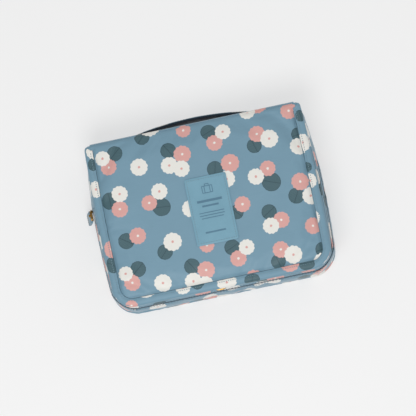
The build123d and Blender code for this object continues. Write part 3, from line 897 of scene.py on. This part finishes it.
def make_tab():
    """A short folded strip of the print with a stitched edge."""
    tab = refined("puller_tab", 0.35 * MM)
    low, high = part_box("puller_tab")
    link_low, link_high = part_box("puller_link")
    middle_y = (low.y + high.y) / 2
    leaf_u, leaf_v = 318 * MM, 10 * MM
    cloth_map(tab, lambda polygon, co: (leaf_u + co.y - middle_y, leaf_v + co.z - low.z))
    piece(tab, "tab_cloth", "tab", STRIP_CLOTH, "print_cloth", "puller_tab")
    wire = Vector(((link_low.x + link_high.x) / 2, middle_y, link_low.z + 0.55 * MM))
    turn = Matrix.Rotation(TAB_LEAN, 3, "Y")
    side, top, end, face = 4.8, -4.6, -23.6, -1.42
    corners = [(side, top), (side, end), (-side, end), (-side, top)]
    flat = evenly([Vector((face, y, z)) * MM for y, z in corners], 2.4 * MM)
    away = turn @ Vector((-1, 0, 0))
    row = stitched([wire + turn @ p for p in flat], away, length=1.6 * MM, width=0.6 * MM)
    piece(row, "tab_stitches", "tab", THREAD, "print_cloth")


def make_fold_gusset():
    """The cloth that joins the two halves above the zip's ends, made as it lies when the bag is shut; on the
    real bag it fans out as the lid opens.
    """
    line = rim(BODY, 0.9 * MM, 3.0 * MM)
    lowest = ZIP_END + 1.5 * MM
    start = next(i for i, p in enumerate(line) if p.y <= lowest)
    route = [p for p in line[start:] if p.y > lowest and p.x > 0] + line[:start]
    low, high, rows = SPLIT_REAR - 1.8 * MM, SPLIT_LID + 1.8 * MM, 16
    heights = [low + (high - low) * i / rows for i in range(rows + 1)]

    def crease(z):
        return -0.9 * MM * math.sin(math.pi * (z - low) / (high - low)) ** 2

    points = [(crease(z), z) for z in heights] + [(crease(z) - 0.4 * MM, z) for z in reversed(heights)]
    strip = smooth(band(route, points), 60)
    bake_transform(piece(strip, "fold_cloth", None, PLAIN_SKY, "print_cloth", "fold_gusset"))


# ---------------------------------------------------------------- the lid
def make_lid():
    """The lid's padded shell and its lining."""
    shell = tray(BODY, LID_FRONT, SPLIT_LID, roll=2.5 * MM, rings=5)
    low, high = SPLIT_LID + 3 * MM, LID_FRONT - 4 * MM
    crumple(shell, 0.7 * MM, 14 * MM, 5, lambda co: 1.0 if low < co.z < high else 0.0)
    thickened(shell, CLOTH, -1, finer=True)
    lean(shell)
    smooth(shell, 60)
    piece(shell, "lid_shell", "lid", SIDE_CLOTH, "print_cloth", "lid_gusset", "lid_panel", "lid_foam")
    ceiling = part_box("lid_lining")[1].z - 0.8 * MM
    lining = tray(BODY, ceiling, SPLIT_LID + 1 * MM, 2.9 * MM, cells=(48, 36), roll=3 * MM, rings=3)
    crumple(lining, 0.4 * MM, 22 * MM, 6)
    thickened(lining, 0.5 * MM)
    lean(lining)
    smooth(lining, 60)
    piece(lining, "lid_lining_cloth", "lid", LINING, "lining_cloth", "lid_lining")
    return shell


def net(name, box, body, replaced, pitch=2.2 * MM):
    """A stretched net: a grid whose edges become thin threads."""
    low, high = box
    wide, tall = high.x - low.x, high.y - low.y
    across, up = round(wide / pitch), round(tall / pitch)
    bpy.ops.mesh.primitive_grid_add(x_subdivisions=across, y_subdivisions=up, size=1)
    obj = bpy.context.object
    obj.scale = (wide, tall, 1)
    obj.location = (low + high) / 2
    settle(obj)
    modifier(obj, "WIREFRAME", thickness=0.42 * MM, use_replace=True)
    finish_modifiers(obj)
    smooth(obj, 80)
    piece(obj, name, body, NET, "mesh", replaced)


def make_lid_pockets():
    for side in ("left", "right"):
        net(f"pocket_net_{side}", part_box(f"mesh_pocket_{side}"), "lid", f"mesh_pocket_{side}")
        dress(f"pocket_elastic_{side}", ELASTIC)
    dress("lid_fastener_pads", FUZZ)
    dress("bottle_loops", ELASTIC)


# ---------------------------------------------------------------- the cover flap
PUCKER, PUCKER_PITCH = 0.34 * MM, 0.75 * MM
HELD_EDGE = 6.5 * MM

# Soft creases of the padded cover: two ends, in mm, then height and width.
CREASES = [((-112, 3), (-78, 14), 0.55, 3.0), ((-112, -4), (-64, -12), -0.5, 4.0),
           ((112, -70), (84, -50), 0.6, 3.5), ((-108, -66), (-86, -52), 0.5, 3.5),
           ((112, 46), (88, 30), -0.45, 4.0), ((34, -84), (52, -62), 0.4, 4.5),
           ((-30, -84), (-48, -66), 0.4, 4.0), ((110, -8), (84, 2), 0.45, 3.5)]


def crease_height(place, start, end, height, width):
    """How far a crease lifts or sinks the cloth here: it fades out at both ends."""
    a, b = Vector(start), Vector(end)
    way = Vector((place.x, place.y)) / MM - a
    along = max(0.0, min(1.0, way.dot(b - a) / (b - a).length_squared))
    aside = (way - (b - a) * along).length / width
    return height * MM * math.exp(-aside * aside) * (1 - along * along)


def make_flap():
    """The padded cover: a printed face that domes up inside its stitched edge."""
    cover = tray(FLAP, FLAP_FRONT, FLAP_BACK + 0.8 * MM, cells=(96, 72), roll=2.2 * MM, rings=3)

    def held(co):
        on_rim = half_width(FLAP, co.y) - abs(co.x) < HELD_EDGE or co.y < -HALF_HEIGHT + HELD_EDGE
        return on_rim or co.y > 87 * MM or co.z < FLAP_FRONT - 0.4 * MM

    swell(cover, held, 3.0, 0.012, lambda co: 4.2 * MM)
    modifier(cover, "SUBSURF", levels=1, render_levels=1)
    finish_modifiers(cover)
    for v in cover.data.vertices:
        inside = min(half_width(FLAP, v.co.y) - abs(v.co.x), v.co.y + HALF_HEIGHT)
        across = (inside - SEAM_INSET) / SEAM_WIDTH
        if v.co.z > FLAP_FRONT - 2 * MM and v.co.y < HALF_HEIGHT - 4 * MM:
            v.co.z -= SEAM_DEPTH * math.exp(-across * across)
        if inside > SEAM_INSET + 2 * MM:
            v.co.z += sum(crease_height(v.co, *crease) for crease in CREASES)
            v.co.z += 0.5 * MM * noise.noise(v.co / (38 * MM))
    smooth(cover, 70)
    piece(cover, "flap_cover", "flap", FRONT_CLOTH, "print_cloth", "flap_panel", "flap_foam")
    lining = panel(FLAP, FLAP_BACK, 0.5 * MM, cells=(48, 36), up=-1)
    thickened(lining, 0.7 * MM, -1)
    smooth(lining)
    piece(lining, "flap_lining_cloth", "flap", LINING, "lining_cloth", "flap_lining")
    return cover


# The section of the flap's binding in mm: outwards from the outline, and height above the back.
FLAP_ROLL = [(-8.0, 67.15), (-7.4, 67.75), (-5.8, 67.9), (-3.2, 68.05), (-1.2, 67.6), (0.2, 66.5),
             (0.75, 65.0), (0.7, 63.4), (0.1, 62.0), (-1.4, 61.35), (-5.6, 61.3), (-7.8, 61.4), (-7.9, 61.9),
             (-1.6, 62.3), (-0.6, 64.0), (-1.5, 66.3)]


def make_flap_binding(cover):
    """The rolled binding, its stitches, and a thin dark strip between it and the cover: painted shade in the
    seam's groove.
    """
    route = below(rim(FLAP, 0.2 * MM, 1.1 * MM), HALF_HEIGHT - 1.0 * MM)
    strip = band(route, in_mm(FLAP_ROLL))
    for v in strip.data.vertices:
        round_corner = v.co.y < -58 * MM and abs(v.co.x) > 88 * MM
        if round_corner and v.co.z > FLAP_FRONT:
            v.co.z += PUCKER * math.sin((abs(v.co.x) - v.co.y) / PUCKER_PITCH)
    crumple(strip, 0.35 * MM, 7 * MM, 8)
    smooth(strip, 70)
    piece(strip, "flap_binding_cloth", "flap", STRIP_CLOTH, "print_cloth", "flap_binding")

    def line_on(surface, inset, step, end, lift):
        flat = [Vector((p.x, p.y, FLAP_FRONT)) for p in below(rim(FLAP, inset, step), HALF_HEIGHT - end)]
        return laid_on(surface, flat, DOWN, lift)

    laid = line_on(strip, 5.9 * MM, 2.4 * MM, 7 * MM, 0.02 * MM)
    row = stitched(laid, UP, length=1.5 * MM, width=0.8 * MM)
    piece(row, "flap_binding_stitches", "flap", THREAD, "print_cloth")
    # A thin dark strip in the groove at the binding's inner edge: painted shade along the seam.
    points = in_mm([(-0.4, -0.4), (0.5, -0.4), (0.5, 0.25), (0.0, 0.4), (-0.4, 0.1)])
    turned = smooth(band(line_on(cover, 8.3 * MM, 1.6 * MM, 9 * MM, 0.15 * MM), points), 60)
    piece(turned, "flap_binding_turned_edge", "flap", SEAM_SHADE, "print_cloth")


def make_flap_hinge():
    """The print runs on over the fold, down to the lid's top wall."""
    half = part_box("flap_hinge")[1].x + 4 * MM
    bpy.ops.mesh.primitive_grid_add(x_subdivisions=80, y_subdivisions=20, size=2)
    strip = bpy.context.object
    corners = [(90.5, 47.5), (91.3, 52.0), (91.5, 57.0), (91.4, 61.0), (90.6, 64.0), (89.3, 65.2)]
    line = evenly([Vector((0, y * MM, z * MM)) for y, z in corners], 0.9 * MM)
    for v in strip.data.vertices:
        t = (v.co.y + 1) / 2 * (len(line) - 1)
        k = min(int(t), len(line) - 2)
        p = line[k].lerp(line[k + 1], t - k)
        v.co = (v.co.x * half, p.y, p.z)
    strip.data.uv_layers[0].name = "cloth"
    cloth_map(strip, lambda polygon, co: (co.x, HALF_HEIGHT + FLAP_FRONT - co.z))
    thickened(strip, 0.8 * MM, finer=True)
    outwards(strip)
    smooth(strip, 60)
    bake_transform(piece(strip, "flap_fold_cloth", None, FRONT_CLOTH, "print_cloth", "flap_hinge"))


# The patch is made flat at this height, and is then lowered onto the cover.
PATCH_START = FLAP_FRONT + 20 * MM


def make_patch(cover):
    """The leatherette patch, bent over the padded flap, with its stitched edge and sunk marks."""
    wide, tall = patch_high.x - patch_low.x, patch_high.y - patch_low.y
    middle = (patch_low + patch_high) / 2
    bpy.ops.mesh.primitive_cube_add(size=1)
    patch = bpy.context.object
    patch.scale = (wide, tall, 1.1 * MM)
    patch.location = (middle.x, middle.y, PATCH_START)
    settle(patch)
    start_edit(patch, "DESELECT")
    bpy.ops.mesh.select_mode(type="EDGE")
    end_edit()
    for edge in patch.data.edges:
        a, b = (patch.data.vertices[i].co for i in edge.vertices)
        edge.select = abs(a.z - b.z) > 0.5 * MM
    bpy.ops.object.mode_set(mode="EDIT")
    bpy.ops.mesh.bevel(offset=2.6 * MM, segments=5)
    end_edit()
    modifier(patch, "BEVEL", width=0.3 * MM, segments=2, limit_method="ANGLE", angle_limit=math.radians(50))
    finish_modifiers(patch)
    for axis, count, normal in ((0, 18, (1, 0, 0)), (1, 28, (0, 1, 0))):
        for i in range(1, count):
            at = middle.copy()
            at[axis] = patch_low[axis] + (patch_high[axis] - patch_low[axis]) * i / count
            start_edit(patch)
            bpy.ops.mesh.bisect(plane_co=at, plane_no=normal)
            end_edit()
    bend_over(cover, patch, PATCH_START - 0.55 * MM)
    outwards(patch)
    smooth(patch, 40)
    piece(patch, "label_patch_leather", "flap", PATCH, "leatherette", "label_patch")
    x, y = wide / 2 - 2.3 * MM, tall / 2 - 2.3 * MM
    loop = ((x, y), (-x, y), (-x, -y), (x, -y), (x, y))
    corners = [Vector((middle.x + a, middle.y + b, FLAP_FRONT)) for a, b in loop]
    laid = laid_on(patch, evenly(corners, 2.75 * MM)[:-1], DOWN, 0.0)
    row = stitched(laid, UP, closed=True, length=1.9 * MM, width=0.7 * MM)
    piece(row, "patch_stitches", "flap", THREAD, "leatherette")
    make_marks(patch, middle)


def bend_over(surface, obj, base_z):
    """Lowers each point onto a surface below it, keeping its height above the base."""
    bpy.context.view_layer.update()
    for v in obj.data.vertices:
        hit, place, _, _ = surface.ray_cast(Vector((v.co.x, v.co.y, 0.2)), DOWN)
        v.co.z = (place.z if hit else FLAP_FRONT) + v.co.z - base_z


def bar(x, y, wide, tall):
    """A thin rounded bar."""
    bpy.ops.mesh.primitive_cube_add(size=1)
    obj = bpy.context.object
    obj.scale = (wide, tall, 0.3 * MM)
    obj.location = (x, y, 0)
    settle(obj)
    modifier(obj, "BEVEL", width=min(tall, wide) * 0.42, segments=2, affect="EDGES", limit_method="ANGLE")
    finish_modifiers(obj)
    start_edit(obj)
    bpy.ops.mesh.subdivide(number_cuts=2)
    end_edit()
    for v in obj.data.vertices:
        v.co.z = math.copysign(min(abs(v.co.z), 0.12 * MM), v.co.z)
    return obj


def make_marks(patch, middle):
    """A small suitcase emblem and plain bars, pressed into the patch."""
    marks = []
    for y, wide, tall in ((10.0, 27, 2.6), (4.6, 18, 2.0), (-2.6, 27, 0.9), (-5.6, 27, 0.9), (-8.6, 24, 0.9),
                          (-24.0, 22, 1.8)):
        marks.append(bar(middle.x, middle.y + y * MM, wide * MM, tall * MM))
    side, low, high, line = 5.5, 18.5, 26.0, 0.8
    middle_y, tall = (low + high) / 2, high - low
    case = [(0, low, 2 * side, line), (0, high, 2 * side, line), (0, high + 2.2, 4.8, line)]
    case += [(x, middle_y, line, tall) for x in (-side, side, -side + 2.6, side - 2.6)]
    case += [(x, high + 1.0, line, 2.4) for x in (-2.0, 2.0)]
    for x, y, wide, tall in case:
        marks.append(bar(middle.x + x * MM, middle.y + y * MM, wide * MM, tall * MM))
    obj = join(marks)
    bend_over(patch, obj, -0.06 * MM)
    smooth(obj, 50)
    piece(obj, "patch_marks", "flap", MARK, "leatherette")


# ---------------------------------------------------------------- inside the flap
def make_flap_pocket():
    net("flap_pocket_net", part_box("flap_pocket_mesh"), "flap", "flap_pocket_mesh", 2.4 * MM)
    dress("flap_pocket_trim", WEBBING)
    dress("pocket_zip_tape", TAPE)
    dress("flap_fastener_pads", FUZZ)
    dress("hook_sleeve", WEBBING)
    low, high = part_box("pocket_zip_coil")
    middle = (low + high) / 2
    along = Vector((1, 0, 0))
    rows = []
    for side in (-1, 1):
        y = middle.y + side * 0.75 * MM
        line = evenly([Vector((low.x, y, middle.z)), Vector((high.x, y, middle.z))], 1.5 * MM)
        rows.append(scatter(tooth_shape(), [(p, along, DOWN) for p in line]))
    piece(join(rows), "pocket_zip_teeth", "flap", COIL, "zip_coil", "pocket_zip_coil")
    slider = refined("pocket_slider", 0.25 * MM)
    piece(slider, "pocket_slider_brass", "pocket_slider", BRASS, "brass", "pocket_slider")
    pull = refined("pocket_pull", 0.3 * MM)
    piece(pull, "pocket_pull_webbing", "pocket_slider", WEBBING, "webbing", "pocket_pull")


def make_hook():
    piece(refined("hanging_hook", 0.5 * MM), "hook_brass", "hook", BRASS, "brass", "hanging_hook")
    dress("hook_webbing", WEBBING)


# ---------------------------------------------------------------- setting
def make_stage():
    """A pale floor and soft light from above."""
    bpy.ops.mesh.primitive_plane_add(size=8, location=(0, 0, -0.2 * MM))
    floor = bpy.context.object
    floor.name = "floor"
    material, _, shader = new_material("floor")
    white = (1, 1, 1, 1)
    set_inputs(shader, Base_Color=rgb("9C9C9C"), Emission_Color=white, Emission_Strength=0.55, Roughness=0.9)
    floor.data.materials.append(material)
    world = bpy.data.worlds.new("studio")
    bpy.context.scene.world = world
    world.use_nodes = True
    set_inputs(world.node_tree.nodes["Background"], Color=white, Strength=0.56)
    for name, place, size, power in (("key", (-0.15, -0.5, 1.15), 0.5, 6.9),
                                     ("fill", (0.9, 0.6, 1.3), 1.4, 2.5)):
        lamp = bpy.data.lights.new(name, "AREA")
        lamp.size = size
        lamp.energy = power
        obj = new_object(name, lamp)
        obj.location = place
        obj.rotation_euler = (-Vector(place)).to_track_quat("-Z", "Y").to_euler()
    bpy.context.scene.view_settings.view_transform = "Standard"


def make_camera():
    """Looks down on the bag from a little towards its free edge and its right, rolled a little."""
    data = bpy.data.cameras.new("camera")
    data.lens = 400
    camera = new_object("camera", data)
    bpy.context.scene.camera = camera
    aside, tilt, roll = math.radians(1.6), math.radians(8.0), math.radians(-11.75)
    back = Vector((math.sin(aside), -math.sin(tilt), 0))
    back.z = math.sqrt(1 - back.length_squared)
    right = Vector((0, 1, 0)).cross(back).normalized()
    up = back.cross(right)
    turned = right * math.cos(roll) + up * math.sin(roll)
    axes = Matrix((turned, back.cross(turned), back)).transposed().to_4x4()
    target = Vector((-0.9 * MM, -2.8 * MM, FLAP_FRONT))
    distance = 4.95
    camera.matrix_world = Matrix.Translation(target + back * distance) @ axes
    data.clip_start, data.clip_end = 0.05, 20


make_camera()
rear = make_rear_shell()
make_rear_lining()
make_body_binding("back_binding_roll", "rear_half", BACK_ROLL, "back_binding")
make_handle()
make_zip()
make_tab()
make_fold_gusset()
lid = make_lid()
make_body_binding("lid_binding_roll", "lid", LID_ROLL, "lid_binding")
wall_stitches("rear_zip_stitches", rear, "rear_half", SPLIT_REAR - 2.2 * MM)
wall_stitches("lid_zip_stitches", lid, "lid", SPLIT_LID + 2.2 * MM)
make_lid_pockets()
flap_cover = make_flap()
make_flap_binding(flap_cover)
make_flap_hinge()
make_patch(flap_cover)
make_flap_pocket()
make_hook()
make_stage()
